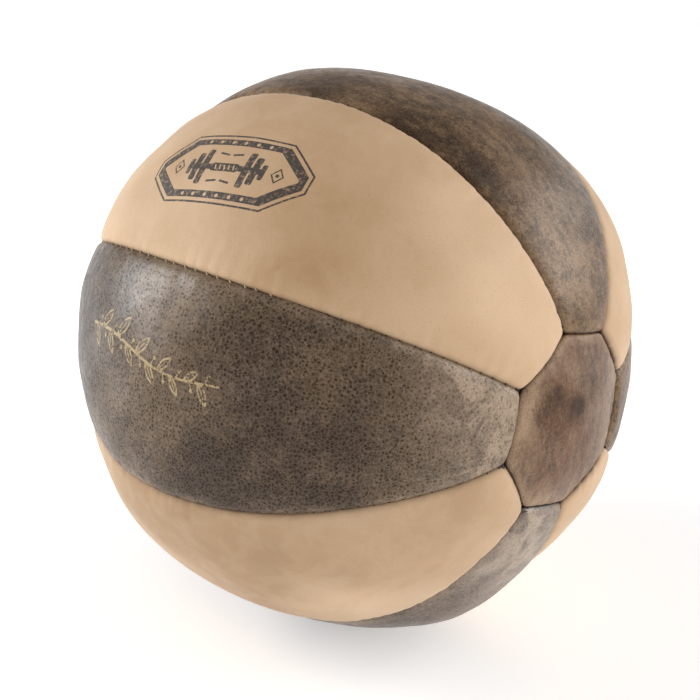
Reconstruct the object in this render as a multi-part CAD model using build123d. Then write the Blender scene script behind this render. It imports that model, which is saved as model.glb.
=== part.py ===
from build123d import *
import os
from math import cos, radians, sin, tan

os.makedirs("parts", exist_ok=True)

# A stuffed leather medicine ball. Eight gores, light and dark by turns, run between two
# octagonal end caps. The line through the caps is X, the ball's centre is the origin.

# Outside shape
BALL_RADIUS = 140.0       # centre of the ball to the crown of a gore
CROWN_ARC_RADIUS = 134.1  # radius of the crown line of a gore, cap to cap
LOBE_SHIFT = 19.35        # a gore bulges about its own axis, this far from the ball's axis
GORES = 8
SEAM_PHASE = 7.7          # degrees from straight up to the first seam, towards -Y

# End caps
CAP_CORNER_RADIUS = 45.6  # X axis to a corner of the octagon, where a seam arrives
CAP_DOME_RADIUS = 120.0
CAP_CROWN_X = 136.3       # centre of the ball to the middle of a cap

# Materials, from the outside inwards
LEATHER = 2.0
CANVAS = 0.8
FLANGE_END_RADIUS = 129.5  # the turned-in seam allowances end at this radius
STUFFING_RADIUS = 126.5
THREAD = 1.0
SEAM_GAP = 1.04
THREAD_DEPTH = 2.2         # thread centre below the bottom of the seam valley

# The second seam is closed by hand from this angle, measured from the right-hand cap
CLOSING_SEAM = 2
CLOSING_START = 68.0

HALF_GORE = 180.0 / GORES
GORE_STEP = 360.0 / GORES
HALF_GAP = SEAM_GAP / 2
CROWN_ARC_CENTRE = BALL_RADIUS - CROWN_ARC_RADIUS
REACH = 400.0


def lobe(inset):
    """Body whose skin is the outside of one gore, moved inwards by inset. Its crown is at +Z."""
    disc = Pos(0, CROWN_ARC_CENTRE) * Circle(CROWN_ARC_RADIUS - inset)
    above_axis = Pos(0, LOBE_SHIFT + REACH / 2) * Rectangle(REACH, REACH)
    profile = Plane.XZ * (disc & above_axis)
    return revolve(profile, Axis((0, 0, LOBE_SHIFT), (1, 0, 0)), 360)


def wedge(side_gap):
    """The slice of space that one gore fills, its sides moved inwards by side_gap."""
    tip = side_gap / sin(radians(HALF_GORE))
    half_width = (REACH - tip) * tan(radians(HALF_GORE))
    left, right = (-half_width, REACH), (half_width, REACH)
    slice_face = make_face(Polyline((0, tip), right, left, (0, tip)))
    return extrude(Plane.YZ * slice_face, amount=REACH / 2, both=True)


def octagon_prism(grow):
    """Eight-sided prism along X, its flats moved outwards by grow, corners at the seams."""
    corner = CAP_CORNER_RADIUS + grow / cos(radians(HALF_GORE))
    outline = Rot(0, 0, HALF_GORE) * RegularPolygon(corner, GORES)
    return extrude(Plane.YZ * outline, amount=REACH / 2, both=True)


def dome(inset):
    """Ball whose skin is the outside of the right-hand end cap, moved inwards by inset."""
    return Pos(CAP_CROWN_X - CAP_DOME_RADIUS, 0, 0) * Sphere(CAP_DOME_RADIUS - inset)


def one_solid(shape):
    """The largest solid of a shape that was cut on both sides of the origin."""
    return Part(sorted(shape.solids(), key=lambda s: s.volume)[-1].wrapped)


def right_half(shape):
    """The part of a shape on the side of the right-hand cap."""
    return one_solid(shape & Pos(REACH / 2, 0, 0) * Box(REACH, REACH, REACH))


def place_gore(shape, number):
    """Turn a gore built with its crown up to place number 1 to 8."""
    angle = SEAM_PHASE + HALF_GORE + (number - 1) * GORE_STEP
    return Rot(angle, 0, 0) * shape


def place_right(shape):
    """Turn an end cap piece about X so that its corners meet the seams."""
    return Rot(SEAM_PHASE + HALF_GORE, 0, 0) * shape


def place_left(shape):
    """The same piece at the other end of the ball."""
    return place_right(Rot(0, 0, 180) * shape)


def save(shape, node, color):
    shape.label = node
    shape.color = Color(*color)
    export_step(shape, "parts/" + node + ".step")


LIGHT_LEATHER = (0.78, 0.64, 0.50)
DARK_LEATHER = (0.27, 0.21, 0.17)
CANVAS_COLOR = (0.80, 0.76, 0.66)
WADDING_COLOR = (0.86, 0.84, 0.79)
STUFFING_COLOR = (0.55, 0.55, 0.57)
THREAD_COLOR = (0.16, 0.12, 0.09)
CLOSING_THREAD_COLOR = (0.62, 0.52, 0.40)

flange_ball = Sphere(FLANGE_END_RADIUS)

# One gore: leather skin with its four edges turned in, the canvas behind it, the room inside
gore_inside = wedge(HALF_GAP + LEATHER) - octagon_prism(HALF_GAP + LEATHER)
gore_outer = (lobe(0) & wedge(HALF_GAP)) - octagon_prism(HALF_GAP) - flange_ball
gore_hollow = (lobe(LEATHER) & gore_inside) - flange_ball
gore_leather = one_solid(gore_outer - gore_hollow)
gore_room = one_solid((lobe(LEATHER + CANVAS) & gore_inside) - flange_ball)
gore_canvas = one_solid(gore_hollow - lobe(LEATHER + CANVAS))

# One end cap, built the same way
cap_outer = right_half((dome(0) & octagon_prism(-HALF_GAP)) - flange_ball)
cap_inside = octagon_prism(-HALF_GAP - LEATHER)
cap_hollow = right_half((dome(LEATHER) & cap_inside) - flange_ball)
cap_room = right_half((dome(LEATHER + CANVAS) & cap_inside) - flange_ball)
cap_leather = one_solid(cap_outer - cap_hollow)
cap_canvas = one_solid(cap_hollow - dome(LEATHER + CANVAS))

for number in range(1, GORES + 1):
    is_light = number % 2 == 1
    place = (number + 1) // 2
    name = ("light_panel_" if is_light else "dark_panel_") + str(place)
    leather_color = LIGHT_LEATHER if is_light else DARK_LEATHER
    save(place_gore(gore_leather, number), name, leather_color)
    save(place_gore(gore_canvas, number), "lining_gore_" + str(number), CANVAS_COLOR)

save(place_right(cap_leather), "end_cap_right", DARK_LEATHER)
save(place_left(cap_leather), "end_cap_left", DARK_LEATHER)
save(place_right(cap_canvas), "lining_cap_right", CANVAS_COLOR)
save(place_left(cap_canvas), "lining_cap_left", CANVAS_COLOR)

# Wadding jacket: one felt layer with the seam allowances pressed into it
jacket = flange_ball - Sphere(STUFFING_RADIUS)
for number in range(1, GORES + 1):
    jacket = jacket + place_gore(gore_room, number)
jacket = jacket + place_right(cap_room) + place_left(cap_room)
save(one_solid(jacket), "wadding_jacket", WADDING_COLOR)
save(Sphere(STUFFING_RADIUS), "stuffing", STUFFING_COLOR)

# Seam threads: each lies in its valley, an arc in a plane through X
VALLEY_ARC_CENTRE = 4.54
VALLEY_ARC_RADIUS = 133.8
THREAD_START = 21.5


def thread_arc(start, end):
    """Round thread under the seam at +Z, between two angles from the +X axis."""
    radius = VALLEY_ARC_RADIUS - THREAD_DEPTH
    points = []
    for angle in (start, (start + end) / 2, end):
        across = radius * cos(radians(angle))
        up = VALLEY_ARC_CENTRE + radius * sin(radians(angle))
        points.append((across, 0, up))
    path = ThreePointArc(*points)
    return sweep(Plane(path @ 0, z_dir=path % 0) * Circle(THREAD / 2), path)


for number in range(1, GORES + 1):
    turn = Rot(SEAM_PHASE + (number - 1) * GORE_STEP, 0, 0)
    seam_end = 180.0 - THREAD_START
    if number == CLOSING_SEAM:
        closing = thread_arc(CLOSING_START, seam_end)
        save(turn * closing, "closing_thread", CLOSING_THREAD_COLOR)
        seam_end = CLOSING_START - 0.5
    thread = thread_arc(THREAD_START, seam_end)
    save(turn * thread, "seam_thread_" + str(number), THREAD_COLOR)

# Cap threads: a closed ring in the groove around each octagon
CAP_THREAD_X = 125.8
RING_CORNER_ROUND = 0.7
ring = Rot(0, 0, HALF_GORE) * RegularPolygon(CAP_CORNER_RADIUS, GORES)
ring = fillet(ring.vertices(), RING_CORNER_ROUND)
ring_path = (Plane.YZ * Pos(0, 0, CAP_THREAD_X) * ring).wires()[0]
cap_thread = sweep(Plane(ring_path @ 0, z_dir=ring_path % 0) * Circle(THREAD / 2), ring_path)
save(place_right(cap_thread), "cap_thread_right", THREAD_COLOR)
save(place_left(cap_thread), "cap_thread_left", THREAD_COLOR)
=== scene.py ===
import math

import bpy
import numpy as np
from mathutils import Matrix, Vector
from mathutils.bvhtree import BVHTree


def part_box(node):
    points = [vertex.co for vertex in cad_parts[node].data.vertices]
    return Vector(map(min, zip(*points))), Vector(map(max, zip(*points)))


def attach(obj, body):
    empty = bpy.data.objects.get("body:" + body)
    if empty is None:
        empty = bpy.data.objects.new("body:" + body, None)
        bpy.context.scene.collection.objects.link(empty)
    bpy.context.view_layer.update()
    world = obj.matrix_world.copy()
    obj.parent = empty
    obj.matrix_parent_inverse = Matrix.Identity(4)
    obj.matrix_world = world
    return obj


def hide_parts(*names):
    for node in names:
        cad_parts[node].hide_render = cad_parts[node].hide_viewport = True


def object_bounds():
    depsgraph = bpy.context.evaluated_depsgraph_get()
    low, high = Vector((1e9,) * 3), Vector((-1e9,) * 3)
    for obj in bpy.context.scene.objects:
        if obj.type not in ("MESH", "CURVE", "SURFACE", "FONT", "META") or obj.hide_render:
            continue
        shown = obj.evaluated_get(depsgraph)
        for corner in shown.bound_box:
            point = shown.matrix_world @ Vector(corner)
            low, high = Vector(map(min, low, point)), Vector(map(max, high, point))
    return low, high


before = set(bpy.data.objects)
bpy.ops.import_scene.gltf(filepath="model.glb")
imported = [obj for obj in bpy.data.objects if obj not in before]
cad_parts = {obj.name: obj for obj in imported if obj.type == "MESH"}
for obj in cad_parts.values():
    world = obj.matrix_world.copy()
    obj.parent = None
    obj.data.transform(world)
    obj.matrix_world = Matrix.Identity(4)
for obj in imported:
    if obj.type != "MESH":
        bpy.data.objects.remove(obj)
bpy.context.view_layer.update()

# A stuffed leather medicine ball. X runs through the two end caps, Z is up. Angles round the
# ball are measured about X, from straight up towards -Y.
MM = 0.001

# ---- shape of the ball
CAP_CROWN_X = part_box("end_cap_right")[1][0]
CAP_DOME_RADIUS = 120.0 * MM
CAP_CORNER_RADIUS = 45.6 * MM
BALL_RADIUS = 140.0 * MM
CROWN_ARC_RADIUS = 134.1 * MM
CROWN_ARC_CENTRE = BALL_RADIUS - CROWN_ARC_RADIUS
LOBE_SHIFT = 19.35 * MM
SEAM_PHASE = 7.7
GORES = 8
STEP = 360.0 / GORES
CORNER_ANGLE = 19.7

# Hand-sewn unevenness of each seam, in degrees: sideways, leaning and bowed
SEAM_SIDEWAYS = (1.5, -1.5, 0.0, 0.5, -2.0, 0.0, 2.0, -0.5)
SEAM_LEAN = (7.0, 1.0, 3.0, 3.5, 1.5, 0.0, -1.5, -1.5)
SEAM_BOW = (3.5, 5.0, 3.0, 5.0, -1.0, 0.0, 1.0, -2.5)

LEATHER = 2.0 * MM
EDGE_ROUND = 2.8 * MM
SEAM_GAP = 0.8 * MM
CAP_SEAM_GAP = 0.6 * MM
STITCH = 6.5 * MM
STITCH_KINDS = 200
THREAD_START = 21.5
CLOSING_SEAM = 2
CLOSING_START = 68.0
CLOSING_GAPE = 0.30 * MM
GORE_PUCKER = 0.34 * MM
CAP_PUCKER = 0.30 * MM
PUCKER_REACH = 2.6 * MM
WRINKLE = 0.16 * MM
WRINKLE_START = 1.2 * MM
EDGE_PULL = 0.8 * MM
EDGE_PULL_REACH = 5.5 * MM
FLANGE_DEPTHS = np.array([1.6, 3.8, 6.0]) * MM
GORE_ROWS = 400
GORE_COLUMNS = 40
CAP_RINGS = 34
SKIN_THICKNESS = 0.8 * LEATHER
EDGE_WEAR = 12 * MM
# Depth over which the skin darkens as it turns down into a seam: painted shade in the groove, with
# some soiling
SOIL_AND_SHADE_DEPTH = 2.5 * MM
WAVE_COUNT = 10


def unit(vectors):
    """The same directions at length 1."""
    return vectors / np.maximum(np.linalg.norm(vectors, axis=-1, keepdims=True), 1e-12)


def corner_theta(end):
    """Polar angle of an octagon's corners. end is 1 for the right cap and -1 for the left."""
    return CORNER_ANGLE if end > 0 else 180.0 - CORNER_ANGLE


def seam_angle(seam, theta):
    """Angle round the ball of a seam, in degrees, at polar angle theta (degrees from +X)."""
    k = seam % GORES
    s = (theta - 90.0) / 90.0
    own = SEAM_SIDEWAYS[k] + SEAM_LEAN[k] * s + SEAM_BOW[k] * (1.0 - s * s)
    return SEAM_PHASE + STEP * seam + own


def waves(points, wavelength, seed):
    """Smooth noise of about unit height, from plane waves in random directions."""
    rng = np.random.default_rng(seed)
    total = np.zeros(points.shape[:-1])
    for _ in range(WAVE_COUNT):
        d = rng.normal(size=3)
        d /= np.linalg.norm(d)
        k = 2.0 * math.pi / (wavelength * rng.uniform(0.75, 1.35))
        total += np.sin(points @ (d * k) + rng.uniform(0, 2 * math.pi))
    return total / math.sqrt(WAVE_COUNT / 2.0) / 1.6


def round_angle(angle_deg):
    """Unit vectors square to X at an angle round the ball."""
    a = np.radians(angle_deg)
    return np.stack([np.zeros_like(a), -np.sin(a), np.cos(a)], axis=-1)


def octagon_side(side, end):
    """One side of an octagon: its middle angle, distance from X, first and last angle."""
    theta = corner_theta(end)
    first, last = seam_angle(side, theta), seam_angle(side + 1, theta)
    half = math.radians((last - first) / 2)
    return (first + last) / 2, CAP_CORNER_RADIUS * math.cos(half), first, last


def crown_radius(alpha, inset=0.0):
    """Distance from X of a gore's crown line."""
    return CROWN_ARC_CENTRE + (CROWN_ARC_RADIUS - inset) * np.sin(alpha)


def lobe_point(gore, t, alpha, inset=0.0):
    """A gore's smooth outside, t from 0 to 1 across and alpha along its crown line.

    Returns the points, their distance from X and the gore's width there in radians.
    """
    crown = crown_radius(alpha, inset)
    x = (CROWN_ARC_RADIUS - inset) * np.cos(alpha)
    theta = np.degrees(np.arctan2(crown, x))
    first, last = seam_angle(gore, theta), seam_angle(gore + 1, theta)
    off = np.radians((t - 0.5) * STEP)
    reach = np.maximum((crown - LOBE_SHIFT) ** 2 - (LOBE_SHIFT * np.sin(off)) ** 2, 1e-8)
    distance = LOBE_SHIFT * np.cos(off) + np.sqrt(reach)
    points = round_angle(first + t * (last - first)) * distance[..., None]
    points[..., 0] = x
    return points, distance, np.radians(last - first)


def end_alpha(gore, t, end, inset=0.0):
    """alpha where a gore meets the octagon."""
    middle, apothem, first, last = octagon_side(gore, end)
    rho = apothem / np.cos(np.radians(first + t * (last - first) - middle))
    off = np.radians((t - 0.5) * STEP)
    crown = LOBE_SHIFT + np.sqrt(rho**2 - 2 * rho * LOBE_SHIFT * np.cos(off) + LOBE_SHIFT**2)
    a = np.arcsin(np.clip((crown - CROWN_ARC_CENTRE) / (CROWN_ARC_RADIUS - inset), -1, 1))
    return a if end > 0 else math.pi - a


def spaced(length, near, count):
    """Distances from one edge to the other: close together near both edges, even between."""
    inner = near[-1]
    middle = inner + (length[..., None] - 2 * inner) * (np.arange(1, count) / count)
    left = np.broadcast_to(near, length.shape + near.shape)
    right = length[..., None] - left[..., ::-1]
    return np.concatenate([left, middle, right], axis=-1)


# Distances of a skin's first rows from its edge
NEAR = np.array([0.0, 0.12, 0.45, 0.95, 1.6, 2.4, 3.4, 4.8, 6.8, 9.5]) * MM

# Where the stuffing pushes the skin out or lets it sink: direction, height in mm, spread in
# degrees
LUMPS = (
    ((0.62, -0.20, -0.76), 6.0, 13),
    ((0.89, 0.27, -0.37), 3.4, 15),
    ((0.68, 0.57, 0.46), 4.4, 22),
    ((0.06, 0.32, 0.95), -3.6, 18),
    ((-0.02, -0.72, -0.70), -2.6, 17),
    ((-0.48, -0.85, -0.23), -3.0, 13),
    ((-0.62, -0.78, 0.08), -1.5, 13),
    ((-0.72, -0.35, 0.60), 0.8, 20),
    ((-0.55, -0.62, -0.55), 1.0, 16),
    ((-0.70, 0.60, -0.20), 2.2, 20),
    ((-0.20, 0.75, -0.60), -2.0, 18),
    ((0.10, 0.95, 0.30), -1.8, 20),
    ((-0.60, 0.30, 0.70), 1.6, 18),
)
SETTLED = 1.2 * MM
# Layers of noise on the skin: height in mm, wavelength in metres, seed
SKIN_NOISE = ((0.55, 0.075, 11), (0.22, 0.032, 12), (0.06, 0.012, 13))


def uneven(start, points, layers):
    """A value with layers of noise added to it."""
    total = np.full(points.shape[:-1], start)
    for height, wavelength, seed in layers:
        total += height * MM * waves(points, wavelength, seed)
    return total


def fades(points, patches):
    """For each patch, its amount and the share of it that reaches each point."""
    out = unit(points)
    for direction, amount, spread in patches:
        away = np.degrees(np.arccos(np.clip(out @ unit(np.array(direction)), -1, 1)))
        yield amount, np.exp(-((away / spread) ** 2))


def swell(points):
    """Height that the uneven stuffing adds to the skin, in metres."""
    height = np.full(points.shape[:-1], -SETTLED)
    for amount, share in fades(points, LUMPS):
        height += amount * MM * share
    return uneven(height, points, SKIN_NOISE)


def hand_sewn(key):
    """For the stitches of one seam: how hard each pulls, and its shift along the seam."""
    rng = np.random.default_rng(key)
    return rng.uniform(0.55, 1.25, STITCH_KINDS), rng.uniform(-0.12, 0.12, STITCH_KINDS)


def stitch_wave(along, key):
    """Pull of the stitches at each distance along a seam: its shape from 0 to 1, its strength."""
    strength, shift = hand_sewn(key)
    where = along / STITCH
    n = np.round(where).astype(int) % STITCH_KINDS
    d = where - np.round(where) - shift[n]
    return np.exp(-((d / 0.17) ** 2)), strength[n]


def edge_wrinkles(along, key):
    """Slow uneven wave along a seam, about unit height."""
    rng = np.random.default_rng(key + 500)
    total = np.zeros_like(along)
    for _ in range(6):
        total += np.sin(2 * math.pi * along / (rng.uniform(6.0, 16.0) * MM) + rng.uniform(0, 6.28))
    return total / 2.4


def sew_down(height, u, run, key, wrinkle_key, pucker, fade):
    """Lower a skin's height along one sewn edge, u away from it, and return the stitches' pull."""
    pull, strength = stitch_wave(run, key)
    wrinkle = edge_wrinkles(run, wrinkle_key)
    height -= pucker * pull * strength * np.exp(-((u / PUCKER_REACH) ** 1.5))
    height += WRINKLE * wrinkle * np.exp(-u / fade) * (1 - np.exp(-u / WRINKLE_START))
    height -= EDGE_PULL * np.exp(-u / EDGE_PULL_REACH)
    return pull, strength


def sink(edges):
    """How far the skin turns down near its edges: edges is a list of distances to them."""
    total = np.zeros_like(edges[0])
    for u in edges:
        total += np.maximum(EDGE_ROUND - u, 0.0) ** 2
    q = np.sqrt(total)
    inside = np.minimum(q, EDGE_ROUND)
    down = EDGE_ROUND - np.sqrt(np.maximum(EDGE_ROUND**2 - inside**2, 0.0))
    return down + 2.0 * np.maximum(q - EDGE_ROUND, 0.0)


# Where dark leather is lighter (above 0) or darker (below 0): direction, amount,
# spread in degrees. Most patches are rubbed and unrubbed leather; some are painted light and shade,
# marked below.
RUBBED_AND_PAINTED_LIGHT = (
    # pored panel
    ((0.895, -0.404, 0.187), 0.44, 15),
    # painted shade: darker at the pored panel's left end
    ((-0.46, -0.87, 0.16), -0.36, 16),
    # painted highlight: paler under the window's highlight
    ((0.02, -0.86, 0.51), 0.34, 10),
    # painted shade: darker low on the pored panel, near the floor
    ((0.39, -0.90, -0.06), -0.60, 14),
    ((0.74, -0.64, 0.22), -0.10, 8),
    ((0.05, -0.98, 0.05), -0.16, 12),
    # top panel: dark along one seam, handled bare along its crown
    ((0.32, -0.17, 0.93), -0.28, 8),
    ((0.43, -0.13, 0.89), -0.22, 7),
    ((-0.05, -0.20, 0.97), -0.34, 10),
    ((0.62, -0.11, 0.78), -0.22, 7),
    ((0.40, 0.04, 0.91), 0.18, 8),
    ((0.56, 0.08, 0.82), 0.22, 7),
    ((0.72, 0.06, 0.69), 0.12, 8),
    ((0.89, 0.06, 0.44), 0.50, 9),
    ((0.83, -0.08, 0.56), 0.15, 5),
    ((-0.45, 0.15, 0.88), 0.25, 14),
    # bottom panel: paler where it faces the bright floor, painted bounce light and sheen
    ((0.84, -0.23, -0.49), 0.30, 16),
    ((0.93, -0.10, -0.36), 0.42, 10),
    # end cap
    ((0.977, -0.137, 0.162), -0.40, 3.4),
    ((0.974, -0.200, 0.110), -0.28, 2.6),
    ((0.996, -0.020, 0.083), -0.32, 2.6),
    ((0.96, -0.20, -0.17), -0.22, 7),
    ((0.99, -0.10, 0.06), -0.16, 7),
    ((0.95, 0.02, 0.30), -0.15, 5),
    ((0.956, -0.262, 0.13), 0.30, 3),
    ((0.978, 0.004, 0.208), 0.14, 4),
    ((0.985, 0.10, 0.10), 0.08, 6),
    ((0.99, -0.02, -0.12), -0.24, 11),
    # the far side
    ((-0.86, 0.10, 0.50), 0.45, 17),
    ((-0.30, 0.80, -0.52), 0.42, 20),
    ((0.30, 0.93, 0.20), 0.35, 22),
    ((-0.90, -0.30, -0.30), 0.42, 14),
)

# Where light leather is paler (above 0) or darker (below 0): partly its own tanning, partly painted
# shade and painted bounce light, marked below
TANNED_AND_PAINTED_LIGHT = (
    ((0.43, -0.60, 0.67), -0.10, 14),
    ((0.59, -0.32, 0.74), 0.16, 12),
    ((0.12, -0.33, 0.94), -0.38, 18),
    ((0.85, -0.25, 0.46), 0.20, 15),
    # painted shade: darker on the lower panel's left side
    ((-0.09, -0.96, -0.26), -0.28, 16),
    ((0.84, -0.48, -0.25), -0.26, 14),
    # painted shade: darker over the middle of the lower panel
    ((0.30, -0.85, -0.42), -0.52, 27),
    # painted bounce light: paler along the lower panel's bottom rim
    ((0.50, -0.66, -0.56), 0.42, 12),
    ((0.91, 0.28, 0.30), -0.10, 18),
    ((0.85, 0.20, -0.45), 0.10, 18),
)

# The patches of each finish, the tone between them and the seed of its slow noise
# the light and dark tables carry painted light and shade as well as wear
LIGHT_WEAR_AND_PAINTED_LIGHT = (TANNED_AND_PAINTED_LIGHT, 0.50, 23)
DARK_WEAR_AND_PAINTED_LIGHT = (RUBBED_AND_PAINTED_LIGHT, 0.30, 21)
CAP_WEAR = (RUBBED_AND_PAINTED_LIGHT, 0.50, 21)


def patchy_tone(points, patches, base, seed):
    """A tone from 0 to 1 over the skin: a base, slow noise and the listed patches."""
    tone = base + 0.13 * waves(points, 0.10, seed) + 0.08 * waves(points, 0.035, seed + 1)
    for amount, share in fades(points, patches):
        tone += amount * share
    return np.clip(tone, 0, 1)


def grid_normals(points, closed=False):
    """Outward unit normals of a grid of points."""
    if closed:
        du = np.roll(points, -1, axis=1) - np.roll(points, 1, axis=1)
    else:
        du = np.gradient(points, axis=1)
    dv = np.gradient(points, axis=0)
    n = unit(np.cross(du, dv))
    outward = np.sum(n * points, axis=-1, keepdims=True)
    return n * np.where(outward < 0, -1.0, 1.0)


# ---- building meshes
def new_object(name, verts, faces, mat, attributes=None):
    """A smooth-shaded mesh object, with float attributes on its points."""
    mesh = bpy.data.meshes.new(name)
    mesh.from_pydata(np.asarray(verts, float).tolist(), [], faces)
    mesh.polygons.foreach_set("use_smooth", np.ones(len(mesh.polygons), bool))
    for key, values in (attributes or {}).items():
        layer = mesh.attributes.new(key, "FLOAT", "POINT")
        layer.data.foreach_set("value", np.asarray(values, np.float32).ravel())
    mesh.validate()
    mesh.update()
    mesh.materials.append(mat)
    obj = bpy.data.objects.new(name, mesh)
    bpy.context.scene.collection.objects.link(obj)
    return obj


def grid_faces(rows, columns, wrap=False, start=0):
    """Quads of a grid whose points run along the columns first."""
    last = columns if wrap else columns - 1
    i, j = np.meshgrid(np.arange(rows - 1), np.arange(last), indexing="ij")
    a = start + i * columns + j
    b = start + i * columns + (j + 1) % columns
    return np.stack([a, b, b + columns, a + columns], axis=-1).reshape(-1, 4)


def facing_out(points, faces):
    """The same faces, turned so that they look away from the ball's centre."""
    quad = faces[len(faces) // 2]
    p = points[quad[:3]]
    n = np.cross(p[1] - p[0], p[2] - p[0])
    if float(n @ p[0]) < 0:
        faces = faces[:, ::-1]
    return faces


def facing_out_each(points, faces):
    """As facing_out, but each face is looked at by itself."""
    result = []
    for face in faces:
        a, b, c = points[face[0]], points[face[1]], points[face[2]]
        result.append(face if float(np.cross(b - a, c - a) @ a) > 0 else face[::-1])
    return result


def solidify(obj, thickness):
    """Give a skin its thickness, inwards, as real faces."""
    modifier = obj.modifiers.new("thickness", "SOLIDIFY")
    modifier.thickness = thickness
    modifier.offset = -1.0
    modifier.use_even_offset = False
    bpy.context.view_layer.objects.active = obj
    with bpy.context.temp_override(object=obj, active_object=obj, selected_objects=[obj]):
        bpy.ops.object.modifier_apply(modifier=modifier.name)


def gore_grid(gore, row_count, column_count, near, gap, end_gap, flange, inset=0.0):
    """Smooth points of a gore with distances (m) to its four edges and the flange depth."""
    t_plain = np.linspace(0, 1, 41)
    scale = CROWN_ARC_RADIUS - inset
    start = end_alpha(gore, t_plain, 1, inset).mean()
    stop = end_alpha(gore, t_plain, -1, inset).mean()
    length = np.array([(stop - start) * scale])
    row_off = spaced(length, near, row_count)[0]
    extra = len(flange)
    row_off = np.concatenate([np.zeros(extra), row_off, np.full(extra, row_off[-1])])
    row_depth = np.concatenate([flange[::-1], np.zeros(len(row_off) - 2 * extra), flange])
    share = row_off / row_off[-1]

    # widths row by row, then the columns' places
    middle_alpha = start + share * (stop - start)
    _, dist, span = lobe_point(gore, np.full_like(share, 0.5), middle_alpha, inset)
    width = dist * span - gap
    col_off = spaced(width, near, column_count)
    left, right = np.zeros((len(col_off), extra)), np.repeat(col_off[:, -1:], extra, 1)
    col_off = np.concatenate([left, col_off, right], axis=1)
    col_depth = np.concatenate([flange[::-1], np.zeros(col_off.shape[1] - 2 * extra), flange])
    t = (col_off + gap / 2) / (width + gap)[:, None]

    first = end_alpha(gore, t, 1, inset) + end_gap / 2 / CROWN_ARC_RADIUS
    last = end_alpha(gore, t, -1, inset) - end_gap / 2 / CROWN_ARC_RADIUS
    alpha = first + share[:, None] * (last - first)
    points = lobe_point(gore, t, alpha, inset)[0]
    edges = [col_off, width[:, None] - col_off, (alpha - first) * scale, (last - alpha) * scale]
    depth = np.maximum(row_depth[:, None], col_depth[None, :])
    return points, edges, depth, alpha, t, width


def fill_flanges(field, inner):
    """On the flanges the grid is doubled up, so they copy the row that lies inner rows inside."""
    e = len(FLANGE_DEPTHS)
    field[:, :e] = field[:, e + inner : e + inner + 1]
    field[:, -e:] = field[:, -e - inner - 1 : -e - inner]
    field[:e] = field[e : e + 1]
    field[-e:] = field[-e - 1 : -e]


def gore_skin(gore, name, mat):
    """One leather gore: crowned, pulled in at each stitch, its four edges turned inwards."""
    points, edges, depth, alpha, t, width = gore_grid(
        gore, GORE_ROWS, GORE_COLUMNS, NEAR, SEAM_GAP, CAP_SEAM_GAP, FLANGE_DEPTHS
    )
    normal = grid_normals(points)
    fill_flanges(normal, 0)
    along = alpha * CROWN_ARC_RADIUS
    across = t * width[:, None]
    height = swell(points)
    side_move = np.zeros_like(along)
    keys = (gore, (gore + 1) % GORES, 20 + gore, 40 + gore)
    for number, (u, key) in enumerate(zip(edges, keys)):
        u = np.maximum(u, 0.0)
        run = along if number < 2 else across
        wrinkle_key = 10 * key + 1 + number % 2
        pull, strength = sew_down(height, u, run, 100 + key, wrinkle_key, GORE_PUCKER, 7.0 * MM)
        if number < 2:
            side = 1.0 - 2.0 * number
            side_move += side * (0.09 * pull * strength - 0.02) * MM * np.exp(-u / (1.6 * MM))
            if (gore + number) % GORES == CLOSING_SEAM - 1:
                theta = np.degrees(np.arctan2(crown_radius(alpha), points[..., 0]))
                gape = CLOSING_GAPE * np.clip((theta - CLOSING_START) / 6.0, 0, 1)
                side_move += side * gape * (1 - 0.6 * pull) * np.exp(-u / (2.4 * MM))
    height -= sink(edges) + depth
    sideways = unit(np.gradient(points, axis=1))
    fill_flanges(sideways, 1)
    verts = points + normal * height[..., None] + sideways * side_move[..., None]

    flat = verts.reshape(-1, 3)
    faces = facing_out(flat, grid_faces(*verts.shape[:2]))
    attributes = {
        "edge": np.clip(np.minimum.reduce(edges) / EDGE_WEAR, 0, 1),
        # buried: painted shade with some soiling, darker down in the seam groove
        "buried": np.clip((sink(edges) + depth) / SOIL_AND_SHADE_DEPTH, 0, 1),
        "tone": patchy_tone(verts, *(DARK_WEAR_AND_PAINTED_LIGHT if gore % 2 else LIGHT_WEAR_AND_PAINTED_LIGHT)),
    }
    obj = new_object(name, flat, faces.tolist(), mat, attributes)
    solidify(obj, SKIN_THICKNESS)
    return obj


def cap_dome(rho, inset=0.0):
    """x of the end cap's smooth outside at a distance from the X axis."""
    centre = CAP_CROWN_X - CAP_DOME_RADIUS
    return centre + np.sqrt(np.maximum((CAP_DOME_RADIUS - inset) ** 2 - rho**2, 0))


def cap_grid(end, rings, near, gap, flange, inset=0.0, per_side=40):
    """Rings of points on a smooth cap, with their distances (m) to its eight edges."""
    sides = [octagon_side(side, end) for side in range(GORES)]
    angle, rim = [], []
    for middle, apothem, first, last in sides:
        part = np.linspace(-1, 1, per_side, endpoint=False)
        part = np.sin(part * math.pi / 2) * 0.35 + part * 0.65
        a = first + (part + 1) / 2 * (last - first)
        angle.append(a)
        rim.append((apothem - gap / 2) / np.cos(np.radians(a - middle)))
    angle, rim = np.concatenate(angle), np.concatenate(rim)
    rest = near[-1] + (rim.min() - near[-1]) * np.arange(1, rings) / rings
    inward = np.concatenate([near, rest])
    extra = len(flange)
    inward = np.concatenate([np.zeros(extra), inward])
    depth = np.concatenate([flange[::-1], np.zeros(len(inward) - extra)])
    f = 1 - inward / rim.min()
    rho = rim[None, :] * f[:, None]
    direction = round_angle(angle)
    points = rho[..., None] * direction[None]
    points[..., 0] = end * cap_dome(rho, inset)
    edges = []
    for middle, apothem, _, _ in sides:
        edges.append(apothem - gap / 2 - rho * np.cos(np.radians(angle - middle))[None, :])
    return points, edges, depth[:, None] + 0 * rho, rho, angle


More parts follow.
